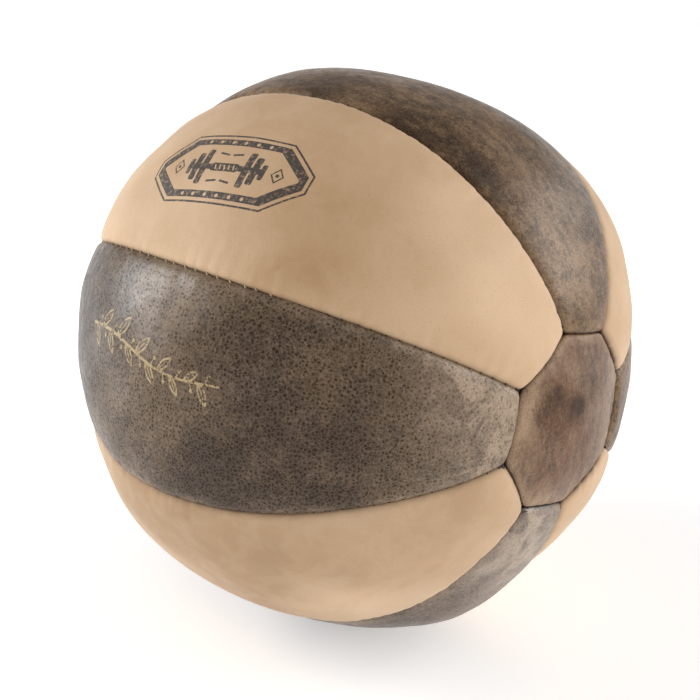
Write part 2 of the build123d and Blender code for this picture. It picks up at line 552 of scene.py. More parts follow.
def close_cap(verts, end, rise=0.0):
    """Points and faces of a cap's rings, closed by a fan to one point in the middle."""
    count = verts.shape[1]
    flat = verts.reshape(-1, 3)
    faces = facing_out(flat, grid_faces(*verts.shape[:2], wrap=True)).tolist()
    base, top = (verts.shape[0] - 1) * count, len(flat)
    centre = verts[-1].mean(axis=0)
    centre[0] += end * rise
    flat = np.concatenate([flat, [centre]])
    fan = [[base + j, base + (j + 1) % count, top] for j in range(count)]
    return flat, faces + facing_out_each(flat, fan)


def cap_skin(end, name, mat):
    """An octagonal leather end cap, domed, its edge turned inwards."""
    points, edges, depth, rho, angle = cap_grid(
        end, CAP_RINGS, NEAR, CAP_SEAM_GAP, FLANGE_DEPTHS
    )
    normal = grid_normals(points, closed=True)
    e = len(FLANGE_DEPTHS)
    normal[:e] = normal[e : e + 1]
    height = swell(points)
    run = np.radians(angle)[None, :] * CAP_CORNER_RADIUS + 0 * rho
    nearest = np.maximum(np.minimum.reduce(edges), 0.0)
    sew_down(height, nearest, run, 300 + end, 320 + end, CAP_PUCKER, 8.0 * MM)
    down = sink([np.maximum(u, 0) for u in edges])
    verts = points + normal * (height - down - depth)[..., None]
    flat, faces = close_cap(verts, end, 0.04 * MM)
    attributes = {
        "edge": np.append(np.clip(nearest / EDGE_WEAR, 0, 1), 1.0),
        # buried: painted shade with some soiling, darker down in the seam groove
        "buried": np.append(np.clip((down + depth) / SOIL_AND_SHADE_DEPTH, 0, 1), 0.0),
        "tone": patchy_tone(flat, *CAP_WEAR),
    }
    obj = new_object(name, flat, faces, mat, attributes)
    solidify(obj, SKIN_THICKNESS)
    return obj


# ---- materials
def srgb(r, g, b):
    """Linear colour from display values of 0 to 255."""
    out = []
    for c in (r, g, b):
        c /= 255.0
        out.append(c / 12.92 if c <= 0.04045 else ((c + 0.055) / 1.055) ** 2.4)
    return (*out, 1.0)


class Nodes:
    """Short calls for building one material's node tree."""

    def __init__(self, name):
        self.mat = bpy.data.materials.new(name)
        self.mat.use_nodes = True
        self.tree = self.mat.node_tree
        self.shader = self.tree.nodes["Principled BSDF"]
        self.coords = self.tree.nodes.new("ShaderNodeTexCoord").outputs["Object"]

    def add(self, kind, inputs, **settings):
        """A new node. Each input takes a number, a colour or another node's output."""
        node = self.tree.nodes.new("ShaderNode" + kind)
        for key, value in settings.items():
            setattr(node, key, value)
        for key, value in inputs.items():
            self.put(node.inputs[key], value)
        return node

    def put(self, socket, value):
        if isinstance(value, (int, float, tuple)):
            socket.default_value = value
        else:
            self.tree.links.new(value, socket)

    def finish(self, inputs):
        """Set the shader's own sockets, by number, colour or link, and return the material."""
        for key, value in inputs.items():
            self.put(self.shader.inputs[key], value)
        return self.mat

    def stretched(self, scale):
        return self.add("Mapping", {"Scale": scale, "Vector": self.coords}).outputs["Vector"]

    def noise(self, scale, detail=4.0, rough=0.55, vector=None, distortion=0.0):
        inputs = {"Scale": scale, "Detail": detail, "Roughness": rough, "Distortion": distortion}
        node = self.add("TexNoise", {**inputs, "Vector": vector or self.coords})
        return node.outputs["Fac"]

    def cells(self, scale, feature="F1", vector=None):
        inputs = {"Scale": scale, "Vector": vector or self.coords}
        node = self.add("TexVoronoi", inputs, feature=feature)
        return node.outputs["Distance"]

    def shaken(self, scale, reach):
        """Coordinates moved about by fine noise, so that patterns lose their regular outlines."""
        noise = self.add("TexNoise", {"Scale": scale, "Detail": 2.0, "Vector": self.coords})
        inputs = {0: noise.outputs["Color"], 1: (reach,) * 3, 2: self.coords}
        node = self.add("VectorMath", inputs, operation="MULTIPLY_ADD")
        return node.outputs["Vector"]

    def pores(self, scale, small, large, vector, fewest):
        """Dark dots with soft edges, each of its own strength."""
        node = self.add("TexVoronoi", {"Scale": scale, "Vector": vector})
        channels = self.add("SeparateColor", {"Color": node.outputs["Color"]})
        dot = self.steps(node.outputs["Distance"], small, large, 1.0, 0.0)
        return self.times(dot, self.steps(channels.outputs["Red"], fewest, 0.85))

    def attribute(self, name):
        return self.add("Attribute", {}, attribute_name=name).outputs["Fac"]

    def steps(self, value, low, high, to_low=0.0, to_high=1.0):
        """A smooth step from to_low to to_high, as the value goes from low to high."""
        inputs = {
            "Value": value, "From Min": low, "From Max": high, "To Min": to_low, "To Max": to_high,
        }
        node = self.add("MapRange", inputs, interpolation_type="SMOOTHSTEP")
        return node.outputs["Result"]

    def math(self, kind, a, b):
        return self.add("Math", {0: a, 1: b}, operation=kind).outputs[0]

    def times(self, a, b):
        return self.math("MULTIPLY", a, b)

    def mix(self, factor, a, b):
        node = self.add("Mix", {"Factor": factor, "A": a, "B": b}, data_type="RGBA")
        return node.outputs["Result"]

    def tint(self, tone, color, mask, amount):
        """A share of a colour laid over a tone where the mask is."""
        return self.mix(self.times(mask, amount), tone, color)

    def bump(self, height, strength, distance, below=None):
        node = self.add("Bump", {"Strength": strength, "Distance": distance, "Height": height})
        if below is not None:
            self.put(node.inputs["Normal"], below)
        return node.outputs["Normal"]


DEEP_BROWN = srgb(40, 24, 15)
PORE_BROWN = srgb(60, 36, 23)
DEEP_PORE = srgb(46, 28, 17)


def light_leather(name, warm, ink=None):
    """Natural undyed leather: matt, faintly cloudy, soiled along the seams, with painted shade down
    in the seam grooves and painted light and shade in its tone.
    """
    n = Nodes(name)
    tan = srgb(171, 131 + 7 * warm, 86 + 17 * warm)
    # the tone attribute holds tanning and painted light: darker for painted shade, paler for painted
    # bounce light
    base = n.mix(n.attribute("tone"), tan, srgb(238, 205, 170))
    cloud = n.steps(n.noise(17, 5, 0.55), 0.34, 0.68)
    tone = n.tint(base, srgb(208, 174, 138), cloud, 0.30)
    fine = n.steps(n.noise(75, 4, 0.6, distortion=0.6), 0.35, 0.7)
    tone = n.tint(tone, srgb(228, 200, 168), fine, 0.16)
    stain = n.steps(n.noise(24, 3, 0.5, distortion=1.2), 0.56, 0.76)
    tone = n.tint(tone, srgb(176, 136, 100), stain, 0.20 + 0.08 * warm)
    speck = n.steps(n.cells(330), 0.10, 0.16, 1.0, 0.0)
    tone = n.tint(tone, srgb(146, 108, 74), speck, 0.14)
    grain = n.noise(1300, 3, 0.6)
    tone = n.mix(n.steps(grain, 0.3, 0.7, 0.0, 0.12), tone, srgb(164, 128, 94))
    worn = n.steps(n.noise(160, 3), 0.3, 0.65, 0.35, 1.0)
    dirt = n.times(n.steps(n.attribute("edge"), 0.0, 0.22, 0.42, 0.0), worn)
    tone = n.mix(dirt, tone, srgb(120, 96, 74))
    if ink:
        kept = n.steps(n.noise(520, 5, 0.72), 0.34, 0.50, 0.45, 0.93)
        tone = n.mix(kept, tone, ink)
    # painted shade with some soiling: darker as the skin turns down into the seam groove
    tone = n.mix(n.steps(n.attribute("buried"), 0.12, 0.6), tone, srgb(66, 47, 34))
    creases = n.bump(n.cells(420, "DISTANCE_TO_EDGE"), 0.10, 0.00025)
    return n.finish({
        "Base Color": tone,
        "Roughness": n.steps(n.noise(60, 4), 0.3, 0.7, 0.58, 0.74),
        "Specular IOR Level": 0.32,
        "Sheen Weight": 0.10,
        "Sheen Roughness": 0.45,
        "Normal": n.bump(grain, 0.22, 0.00018, creases),
    })


def dark_leather(
    name, pore_scale, pore_depth, low, mid, high, gloss, cloudy, shine,
    rim=0.42, stretch=None, ink=None,
):
    """Dark worn leather: open pores, cloudy rubbed patches with painted light and shade among them,
    and painted shade with some soiling down in the seams.
    """
    n = Nodes(name)
    vector = n.stretched(stretch) if stretch else n.coords
    cloud = n.steps(n.noise(26, 7, 0.68, vector, 0.3), 0.40, 0.62)
    base = n.mix(cloud, low, mid)
    patch = n.steps(n.noise(62, 7, 0.74, vector, 0.5), 0.38, 0.62, 0.15, 1.0)
    # the tone attribute holds rubbed wear and painted light: paler for a painted highlight and
    # painted bounce light, darker for painted shade
    handled_and_painted_light = n.attribute("tone")
    rub_and_painted_light = n.times(n.steps(handled_and_painted_light, 0.22, 1.0), patch)
    worn = n.steps(n.noise(110, 4, 0.6, vector), 0.3, 0.65, 0.2, 1.0)
    rubbed_rim = n.times(n.steps(n.attribute("edge"), 0.08, 0.60, rim, 0.0), worn)
    rub_and_painted_light = n.math("MAXIMUM", n.times(rub_and_painted_light, 1.5), rubbed_rim)
    tone = n.mix(rub_and_painted_light, base, high)
    # rubbing leaves the raised grain lighter and the hollows darker
    mottle = n.steps(n.noise(190, 6, 0.78, vector), 0.42, 0.62)
    tone = n.tint(tone, high, mottle, 0.34 * cloudy)
    hollow = n.steps(n.noise(240, 6, 0.78, vector), 0.50, 0.66)
    tone = n.tint(tone, low, hollow, 0.55 * cloudy)
    glint = n.steps(n.noise(640, 4, 0.75), 0.46, 0.62)
    tone = n.tint(tone, high, glint, 0.26)
    crumb = n.steps(n.noise(1100, 4, 0.75), 0.46, 0.62)
    tone = n.tint(tone, DEEP_BROWN, crumb, 0.30)
    # darker towards deep brown where the tone is low: unrubbed leather and painted shade
    unrubbed_and_painted_shade = n.steps(handled_and_painted_light, 0.0, 0.30, 0.80, 0.0)
    tone = n.tint(tone, DEEP_BROWN, unrubbed_and_painted_shade, n.steps(patch, 0.15, 0.8, 0.45, 1.0))
    shaken = n.shaken(900, 0.0006)
    pores = n.pores(pore_scale, 0.12, 0.50, shaken, -0.15)
    fine = n.pores(pore_scale * 1.75, 0.18, 0.48, shaken, 0.1)
    pits = n.math("MAXIMUM", pores, n.times(fine, 0.8))
    # the skin between the pores stands up in a pale net
    net = n.steps(n.cells(pore_scale, "DISTANCE_TO_EDGE", shaken), 0.02, 0.17, 1.0, 0.0)
    tone = n.tint(tone, high, net, 0.17 * pore_depth)
    # pores fill with wax where the leather is handled bare
    open_pores = n.steps(handled_and_painted_light, 0.30, 0.65, pore_depth, 0.60 * pore_depth)
    pore_tone = n.mix(n.steps(handled_and_painted_light, 0.20, 0.60), DEEP_PORE, PORE_BROWN)
    tone = n.tint(tone, pore_tone, pits, open_pores)
    if ink:
        kept = n.steps(n.noise(420, 5, 0.7), 0.36, 0.52)
        kept = n.times(kept, n.steps(pits, 0.2, 0.8, 1.0, 0.2))
        tone = n.tint(tone, ink, kept, 0.85)
    # painted shade with some soiling: darker as the skin turns down into the seam groove
    tone = n.mix(n.steps(n.attribute("buried"), 0.16, 0.7), tone, srgb(40, 27, 19))
    # handling polishes the leather, and the bottom of a pore has no shine
    polish = n.steps(handled_and_painted_light, 0.05, 0.75, 0.62, 1.40)
    pebbles = n.bump(n.cells(pore_scale * 1.9, "DISTANCE_TO_EDGE", shaken), 0.08, 0.0003)
    dents = n.bump(pits, 0.09, -0.0003, pebbles)
    return n.finish({
        "Base Color": tone,
        "Roughness": n.steps(n.noise(240, 4), 0.3, 0.7, gloss, gloss + 0.12),
        "Specular IOR Level": n.times(n.steps(pits, 0.0, 0.8, shine, 0.18), polish),
        "Normal": n.bump(n.noise(1250, 3), 0.07, 0.0002, dents),
    })


def woven(name, color_a, color_b, pitch):
    """Plain weave or matted fibre for the hidden layers."""
    n = Nodes(name)
    fibre = n.noise(pitch, 5, 0.7)
    tone = n.mix(n.steps(fibre, 0.3, 0.7), color_a, color_b)
    spots = n.steps(n.cells(pitch * 0.5), 0.1, 0.5)
    tone = n.tint(tone, color_a, spots, 0.3)
    return n.finish({
        "Base Color": tone,
        "Roughness": n.steps(fibre, 0.3, 0.7, 0.82, 0.95),
        "Sheen Weight": 0.2,
        "Normal": n.bump(fibre, 0.5, 0.0006),
    })


def waxed_thread(name, color_a, color_b):
    """Twisted thread with a dull wax shine."""
    n = Nodes(name)
    twist = n.noise(2600, 3, 0.6)
    return n.finish({
        "Base Color": n.mix(n.steps(twist, 0.3, 0.7), color_a, color_b),
        "Roughness": n.steps(twist, 0.3, 0.7, 0.5, 0.7),
        "Normal": n.bump(twist, 0.4, 0.0002),
    })


LIGHT_WARMTH = (0.0, 1.0, 0.3, 0.6)
LIGHT_MATS = [light_leather(f"light_leather_{i + 1}", warm) for i, warm in enumerate(LIGHT_WARMTH)]
PORED_LOOK = (
    590, 0.86, srgb(58, 43, 29), srgb(97, 76, 53), srgb(174, 150, 125), 0.30, 0.37, 0.42,
)
PORED = dark_leather("dark_leather_pored", *PORED_LOOK)
MOTTLED = dark_leather(
    "dark_leather_mottled", 700, 0.35, srgb(46, 31, 19), srgb(97, 70, 46), srgb(180, 147, 111),
    0.32, 1.0, 0.37, 0.42, (0.6, 1.0, 1.0),
)
SMOOTH = dark_leather(
    "dark_leather_smooth", 820, 0.22, srgb(76, 60, 46), srgb(110, 90, 72), srgb(178, 158, 138),
    0.30, 0.25, 0.60, 0.60, (0.6, 1.0, 1.0),
)
BRUSHED = dark_leather(
    "cap_leather", 760, 0.10, srgb(56, 35, 23), srgb(107, 72, 50), srgb(168, 137, 106),
    0.30, 0.9, 0.34, 0.95, (1.0, 1.0, 0.4),
)
DARK_MATS = (PORED, SMOOTH, MOTTLED, MOTTLED)
CANVAS = woven("canvas", srgb(196, 186, 160), srgb(222, 214, 192), 900)
WADDING = woven("wadding", srgb(206, 201, 188), srgb(232, 228, 216), 300)
STUFFING = woven("stuffing", srgb(92, 94, 102), srgb(150, 148, 146), 220)
THREAD = waxed_thread("thread", srgb(34, 26, 20), srgb(70, 54, 42))
TAN_THREAD = waxed_thread("closing_thread", srgb(142, 119, 88), srgb(188, 164, 128))

# ---- the leather skin
skins = []
for number in range(1, GORES + 1):
    place = (number + 1) // 2
    if number % 2:
        node, mat, finish = "light_panel_" + str(place), LIGHT_MATS[place - 1], "light_leather"
    else:
        node, mat, finish = "dark_panel_" + str(place), DARK_MATS[place - 1], "dark_leather"
    skin = gore_skin(number - 1, node + "_skin", mat)
    skins.append((skin, node, finish))
for end, node in ((1, "end_cap_right"), (-1, "end_cap_left")):
    skins.append((cap_skin(end, node + "_skin", BRUSHED), node, "cap_leather"))
for skin, node, finish in skins:
    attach(skin, "root")
    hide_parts(node)


# ---- threads
STITCH_SHAPE = (-1.0, -0.66, -0.25, 0.25, 0.66, 1.0)
STITCH_HALF = 1.5 * MM
SEAM_CORD_DEPTH = 3.2 * MM
SEAM_CORD_THICK = 0.40 * MM
RING_DEPTH = 1.3 * MM
RING_CORD_DEPTH = 2.6 * MM
RING_CORD_THICK = 0.50 * MM


def tubes(paths, radius, sides=6):
    """Vertices and faces of round tubes along many short paths, each closed at both ends."""
    verts, faces = [], []
    for path in paths:
        path = np.asarray(path)
        tangent = unit(np.gradient(path, axis=0))
        b = unit(np.cross(tangent, unit(path)))
        a = np.cross(b, tangent)
        start = len(verts)
        turn = 2 * math.pi * np.arange(sides) / sides
        ring = np.cos(turn)[None, :, None] * a[:, None] + np.sin(turn)[None, :, None] * b[:, None]
        verts.extend((path[:, None] + radius * ring).reshape(-1, 3).tolist())
        faces.extend(grid_faces(len(path), sides, wrap=True, start=start).tolist())
        faces.append(list(range(start, start + sides))[::-1])
        end = start + (len(path) - 1) * sides
        faces.append(list(range(end, end + sides)))
    return verts, faces


def seam_frame(seam, theta):
    """On a seam: point on the valley's line, direction outward and across, way along the seam."""
    angle = seam_angle(seam, theta)
    alpha = np.radians(theta)
    for _ in range(4):
        now = np.arctan2(crown_radius(alpha), CROWN_ARC_RADIUS * np.cos(alpha))
        alpha = alpha + (np.radians(theta) - now)
    crown = crown_radius(alpha)
    off = math.radians(STEP / 2)
    reach = np.sqrt((crown - LOBE_SHIFT) ** 2 - (LOBE_SHIFT * math.sin(off)) ** 2)
    distance = LOBE_SHIFT * math.cos(off) + reach
    radial = round_angle(angle)
    point = radial * distance[..., None]
    point[..., 0] = CROWN_ARC_RADIUS * np.cos(alpha)
    out = unit(point)
    point = point + out * swell(point)[..., None]
    across = np.cross(np.array([1.0, 0, 0]), radial)
    return point, out, across, alpha * CROWN_ARC_RADIUS


def stitch(middle, out, across, depth, lean=0.0):
    """Path of one stitch over a seam, whose ends dive under the leather."""
    run = np.cross(out, across)
    path = []
    for w in STITCH_SHAPE:
        down = out * (depth + STITCH_HALF * w**4)
        path.append(middle - down + across * w * STITCH_HALF + run * w * lean)
    return path


def thread(name, node, mat, stitches, thick, cord, cord_thick):
    """One piece of the stitches of a seam and the cord that joins them below."""
    verts, faces = tubes(stitches, thick)
    more_verts, more_faces = tubes([cord], cord_thick, 8)
    faces += [[v + len(verts) for v in f] for f in more_faces]
    obj = new_object(name, verts + more_verts, faces, mat)
    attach(obj, "root")
    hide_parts(node)


def seam_thread(seam, name, node, slot, start, stop, thick, mat, depth, lean=0.0):
    """Stitches across a seam between two polar angles."""
    point, out, across, along = seam_frame(seam, np.linspace(start, stop, 900))
    step = along / STITCH
    _, shift = hand_sewn(100 + seam % GORES)
    stitches = []
    for index in range(int(math.ceil(step[0])), int(step[-1]) + 1):
        at = index + shift[index % STITCH_KINDS]
        if step[0] < at < step[-1]:
            i = int(np.interp(at, step, np.arange(len(step))))
            stitches.append(stitch(point[i], out[i], across[i], depth, lean))
    cord = (point - out * SEAM_CORD_DEPTH)[::3]
    thread(name, node, mat, stitches, thick, cord, SEAM_CORD_THICK)


for number in range(1, GORES + 1):
    stop = 180.0 - THREAD_START
    if number == CLOSING_SEAM:
        names = ("closing_stitches", "closing_thread", "tan_thread")
        sizes = (0.55 * MM, TAN_THREAD, 0.55 * MM, 1.1 * MM)
        seam_thread(number - 1, *names, CLOSING_START, stop, *sizes)
        stop = CLOSING_START - 0.5
    node = "seam_thread_" + str(number)
    names = (node + "_stitches", node, "thread")
    seam_thread(number - 1, *names, THREAD_START, stop, 0.40 * MM, THREAD, 0.80 * MM)


def ring_thread(end, name, node):
    """Stitches round an end cap."""
    corners = []
    for gore in range(GORES):
        direction = round_angle(np.array(seam_angle(gore, corner_theta(end))))
        corners.append(direction * CAP_CORNER_RADIUS)
    stitches, cord = [], []
    for gore in range(GORES):
        a, b = corners[gore], corners[(gore + 1) % GORES]
        length = np.linalg.norm(b - a)
        side = (b - a) / length
        count = int(length / STITCH)
        for index in range(count):
            p = a + side * (length * (index + 0.5) / count)
            p[0] = end * cap_dome(np.linalg.norm(p))
            out = unit(p)
            p = p + out * float(swell(p))
            stitches.append(stitch(p, out, np.cross(side, out), RING_DEPTH))
        for index in range(8):
            p = a + side * (length * index / 8)
            p[0] = end * (cap_dome(np.linalg.norm(p)) - RING_CORD_DEPTH)
            cord.append(p)
    cord = np.array(cord + cord[:2])
    thread(name, node, THREAD, stitches, 0.34 * MM, cord, RING_CORD_THICK)


ring_thread(1, "cap_stitches_right", "cap_thread_right")
ring_thread(-1, "cap_stitches_left", "cap_thread_left")

# ---- printed marks
INK_LIFT = 0.05 * MM
INK_THICKNESS = 0.2 * MM
INK_CELL = 0.3
RAY_START = 0.2
BADGE_SIZE = 1.16
# The dumbbell's plates, in mm: place along the bar, half thickness, half height, corner radius
PLATES = ((10.4, 1.5, 8.2, 0.9), (14.4, 1.5, 6.4, 0.9), (18.0, 1.1, 3.6, 0.8))


def turned(x, y, cx, cy, turn):
    """The same points in axes that start at (cx, cy) and are turned by some degrees."""
    a = math.radians(turn)
    u = (x - cx) * math.cos(a) + (y - cy) * math.sin(a)
    return u, -(x - cx) * math.sin(a) + (y - cy) * math.cos(a)


def slab(x, y, cx, cy, half_x, half_y, turn=0.0, corner=0.0):
    """Signed distance (below 0 inside) to a rectangle with rounded corners."""
    u, v = turned(x, y, cx, cy, turn)
    over_u, over_v = abs(u) - half_x + corner, abs(v) - half_y + corner
    outside = np.hypot(np.maximum(over_u, 0), np.maximum(over_v, 0))
    return outside + np.minimum(np.maximum(over_u, over_v), 0) - corner


def disc(x, y, cx, cy, radius):
    """Signed distance to a disc."""
    return np.hypot(x - cx, y - cy) - radius


def lens(x, y, cx, cy, half_length, half_width, turn):
    """Signed distance to a pointed leaf shape."""
    u, v = turned(x, y, cx, cy, turn)
    radius = (half_length**2 + half_width**2) / (2 * half_width)
    off = radius - half_width
    return np.maximum(np.hypot(u, v - off), np.hypot(u, v + off)) - radius


def stroke(distance, width):
    """The outline of a shape."""
    return abs(distance) - width / 2


def badge_shape(x, y):
    """A plain plaque with a dumbbell on it, in mm: below 0 where there is ink."""
    x, y = x / BADGE_SIZE, y / BADGE_SIZE
    slant = abs(x) * 0.62 + abs(y) * 0.78
    plaque = np.maximum(slab(x, y, 0, 0, 39.0, 16.0, 0, 0.4), slant - 27.5)
    inner = np.maximum(slab(x, y, 0, 0, 34.0, 11.0, 0, 0.4), slant - 21.5)
    band = np.maximum(plaque + 1.9, -inner)
    ink = np.minimum(stroke(plaque, 0.8), band)
    # pale studs left open in the band
    for cx in np.arange(-15, 16, 6.0):
        for cy in (-12.6, 12.6):
            ink = np.maximum(ink, -disc(x, y, cx, cy, 0.85))
    grip, bar = slab(x, y, 0, 0, 6.5, 1.9, 0, 0.8), slab(x, y, 0, 0, 19.0, 1.3, 0, 0.5)
    dumbbell = np.minimum(grip, bar)
    for side in (-1, 1):
        for cx, half_x, half_y, corner in PLATES:
            weight = slab(x, y, side * cx, 0, half_x, half_y, 0, corner)
            dumbbell = np.minimum(dumbbell, weight)
    for cx in (-4.5, -2.25, 0, 2.25, 4.5):
        dumbbell = np.maximum(dumbbell, -slab(x, y, cx, 0, 0.35, 1.2, 20))
    ink = np.minimum(ink, dumbbell)
    for side in (-1, 1):
        diamond = abs(x - side * 24.6) + abs(y) * 0.8 - 2.6
        ink = np.minimum.reduce([ink, stroke(diamond, 0.7), disc(x, y, side * 24.6, 0, 0.8)])
        for level in (-1, 1):
            ink = np.minimum(ink, slab(x, y, side * 3.2, level * 6.4, 2.4, 0.45, side * level * 8))
    return ink


def branch_shape(x, y):
    """A leafy twig drawn in thin lines, in mm: below 0 where there is ink."""
    start, length = -57, 90
    stem_x = start + np.linspace(0, length, 61)
    stem_y = -1.0 + 2.6 * np.sin((stem_x - start) / length * 2.2 * math.pi) - 0.03 * stem_x
    ink = np.full(np.shape(x), 9.0)
    for a in range(len(stem_x) - 1):
        px, py = stem_x[a], stem_y[a]
        dx, dy = stem_x[a + 1] - px, stem_y[a + 1] - py
        along = np.clip(((x - px) * dx + (y - py) * dy) / (dx * dx + dy * dy), 0, 1)
        width = 0.85 - 0.40 * a / len(stem_x)
        ink = np.minimum(ink, np.hypot(x - px - along * dx, y - py - along * dy) - width)
    rng = np.random.default_rng(61)
    for index, place in enumerate(range(3, 58, 5)):
        side = 1 if index % 2 else -1
        size = rng.uniform(5.2, 6.6) * (1.0 - 0.25 * index / 11)
        turn = side * rng.uniform(42, 58)
        a = math.radians(turn)
        cx = stem_x[place] + size * math.cos(a)
        cy = stem_y[place] + size * math.sin(a)
        leaf = lens(x, y, cx, cy, size, size * 0.34, turn)
        back_x, back_y = cx - 0.25 * size * math.cos(a), cy - 0.25 * size * math.sin(a)
        vein = slab(x, y, back_x, back_y, size * 0.7, 0.26, turn)
        ink = np.minimum.reduce([ink, stroke(leaf, 0.95), vein])
        berry_x, berry_y = stem_x[place + 2] + 1.5, stem_y[place + 2] - side * 3.6
        ink = np.minimum(ink, disc(x, y, berry_x, berry_y, 0.95))
        ink = np.minimum(ink, slab(x, y, berry_x - 0.7, berry_y + side * 1.7, 1.9, 0.22, -side * 68))
    return ink


def filled_outline(shape, low, high):
    """Points (mm) and polygons of the region where a shape is below 0."""
    xs = np.arange(low[0], high[0] + INK_CELL, INK_CELL)
    ys = np.arange(low[1], high[1] + INK_CELL, INK_CELL)
    gx, gy = np.meshgrid(xs, ys, indexing="ij")
    value = shape(gx, gy)
    points, faces, known = [], [], {}

    def point(key, make):
        if key not in known:
            known[key] = len(points)
            points.append(make())
        return known[key]

    inside = value < 0
    touched = inside[:-1, :-1] | inside[1:, :-1] | inside[1:, 1:] | inside[:-1, 1:]
    for i, j in np.argwhere(touched):
        corners = [(i, j), (i + 1, j), (i + 1, j + 1), (i, j + 1)]
        face = []
        for a, b in zip(corners, corners[1:] + corners[:1]):
            if inside[a]:
                face.append(point(a, lambda: (gx[a], gy[a])))
            if inside[a] != inside[b]:
                f = min(max(value[a] / (value[a] - value[b]), 0.04), 0.96)
                where = (gx[a] + f * (gx[b] - gx[a]), gy[a] + f * (gy[b] - gy[a]))
                face.append(point((min(a, b), max(a, b)), lambda: where))
        if len(face) > 2:
            faces.append(face)
    return np.array(points), faces


def printed_mark(name, skin, shape, low, high, middle, right, mat, wear_and_painted_light):
    """Ink on a skin: a flat shape wrapped on it, its middle and its rightward direction given."""
    flat, faces = filled_outline(shape, low, high)
    out = Vector(middle).normalized()
    right = Vector(right)
    right = (right - right.dot(out) * out).normalized()
    up = out.cross(right)
    polygons = [tuple(p.vertices) for p in skin.data.polygons]
    tree = BVHTree.FromPolygons([v.co for v in skin.data.vertices], polygons)
    verts = []
    for u, v in flat:
        direction = (out * BALL_RADIUS + right * (u * MM) + up * (v * MM)).normalized()
        hit = tree.ray_cast(direction * RAY_START, -direction)[0]
        verts.append(list(hit + direction * INK_LIFT))
    verts = np.array(verts)
    bare = {"edge": np.ones(len(verts)), "buried": np.zeros(len(verts))}
    # the ink pieces take the same tone, with its painted light and shade
    attributes = {**bare, "tone": patchy_tone(verts, *wear_and_painted_light)}
    mark = new_object(name, verts, facing_out_each(verts, faces), mat, attributes)
    solidify(mark, INK_THICKNESS)
    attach(mark, "root")


BADGE_LEATHER = light_leather("light_leather_printed", 0.0, srgb(44, 42, 44))
BRANCH_LEATHER = dark_leather("dark_leather_printed", *PORED_LOOK, ink=srgb(190, 164, 120))
printed_mark(
    "badge_ink", skins[0][0], badge_shape, (-48, -21), (48, 21),
    (-0.012, -0.597, 0.802), (0.991, 0.099, 0.089), BADGE_LEATHER, LIGHT_WEAR_AND_PAINTED_LIGHT,
)
printed_mark(
    "branch_ink", skins[1][0], branch_shape, (-59, -17), (42, 17),
    (0.049, -0.959, 0.281), (0.997, 0.031, -0.069), BRANCH_LEATHER, DARK_WEAR_AND_PAINTED_LIGHT,
)

# ---- hidden layers
LINING_NEAR = np.array([0.0, 1.0, 3.0, 7.0]) * MM
LINING_INSET = 2.6 * MM
LINING_GAP = 6.0 * MM
LINING_THICKNESS = 0.8 * MM
LINING_SLACK = 0.6 * MM
LINING_EDGE_REACH = 4.0 * MM
WADDING_RADIUS = 131.0 * MM
WADDING_ABOUT = 0.130
WADDING_NOISE = ((1.1, 0.05, 31), (0.4, 0.018, 32))
TROUGH_DEPTH = 3.2 * MM
TROUGH_REACH = 4.5 * MM
STUFFING_RADIUS = 124.0 * MM
STUFFING_ABOUT = 0.125
STUFFING_NOISE = ((1.0, 0.06, 41), (0.5, 0.015, 42))
SHELL_CLEARANCE = 0.6 * MM
NO_FLANGE = np.array([])


def canvas_relief(points, edges, normal, edge_drop):
    """The smooth points moved onto the canvas, which follows the skin and drops at its edges."""
    near_edge = np.minimum.reduce(edges)
    height = swell(points) - LINING_SLACK - edge_drop * np.exp(-near_edge / LINING_EDGE_REACH)
    return points + normal * height[..., None]


linings = []
for number in range(1, GORES + 1):
    gaps = (LINING_GAP, LINING_GAP, NO_FLANGE, LINING_INSET)
    points, edges = gore_grid(number - 1, 90, 14, LINING_NEAR, *gaps)[:2]
    verts = canvas_relief(points, edges, grid_normals(points), 2.4 * MM).reshape(-1, 3)
    faces = facing_out(verts, grid_faces(*points.shape[:2])).tolist()
    linings.append(("lining_gore_" + str(number), verts, faces))

for end, node in ((1, "lining_cap_right"), (-1, "lining_cap_left")):
    gaps = (LINING_GAP, NO_FLANGE, LINING_INSET)
    points, edges = cap_grid(end, 14, LINING_NEAR, *gaps, 10)[:2]
    verts = canvas_relief(points, edges, grid_normals(points, closed=True), 1.6 * MM)
    linings.append((node, *close_cap(verts, end)))
for node, verts, faces in linings:
    lining = new_object(node + "_canvas", verts, faces, CANVAS)
    solidify(lining, LINING_THICKNESS)
    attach(lining, "root")
    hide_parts(node)


def fibre_ball(name, mat, rows, columns, outside, inside=None):
    """Closed lumpy ball with a radius for each direction, hollow if it is given an inside."""
    polar = np.linspace(0, math.pi, rows + 2)[1:-1]
    th, ph = np.meshgrid(polar, np.linspace(0, 360, columns, endpoint=False), indexing="ij")
    out = round_angle(ph) * np.sin(th)[..., None]
    out[..., 0] = np.cos(th)
    verts, faces = [], []
    for radius_fn, outward in ((outside, 1), (inside, -1)):
        if radius_fn is None:
            continue
        start = len(verts)
        r = radius_fn(out, np.degrees(th), ph)
        shell = (out * r[..., None]).reshape(-1, 3)
        poles = [shell[:columns].mean(axis=0), shell[-columns:].mean(axis=0)]
        verts.extend(shell.tolist() + [p.tolist() for p in poles])
        quads = facing_out(shell, grid_faces(rows, columns, wrap=True))[:, ::outward] + start
        faces.extend(quads.tolist())
        for ring, pole in ((0, 0), ((rows - 1) * columns, 1)):
            first, top = start + ring, start + rows * columns + pole
            fan = [[first + j, first + (j + 1) % columns, top] for j in range(columns)]
            faces.extend(face[::outward] for face in facing_out_each(np.array(verts), fan))
    return new_object(name, verts, faces, mat)


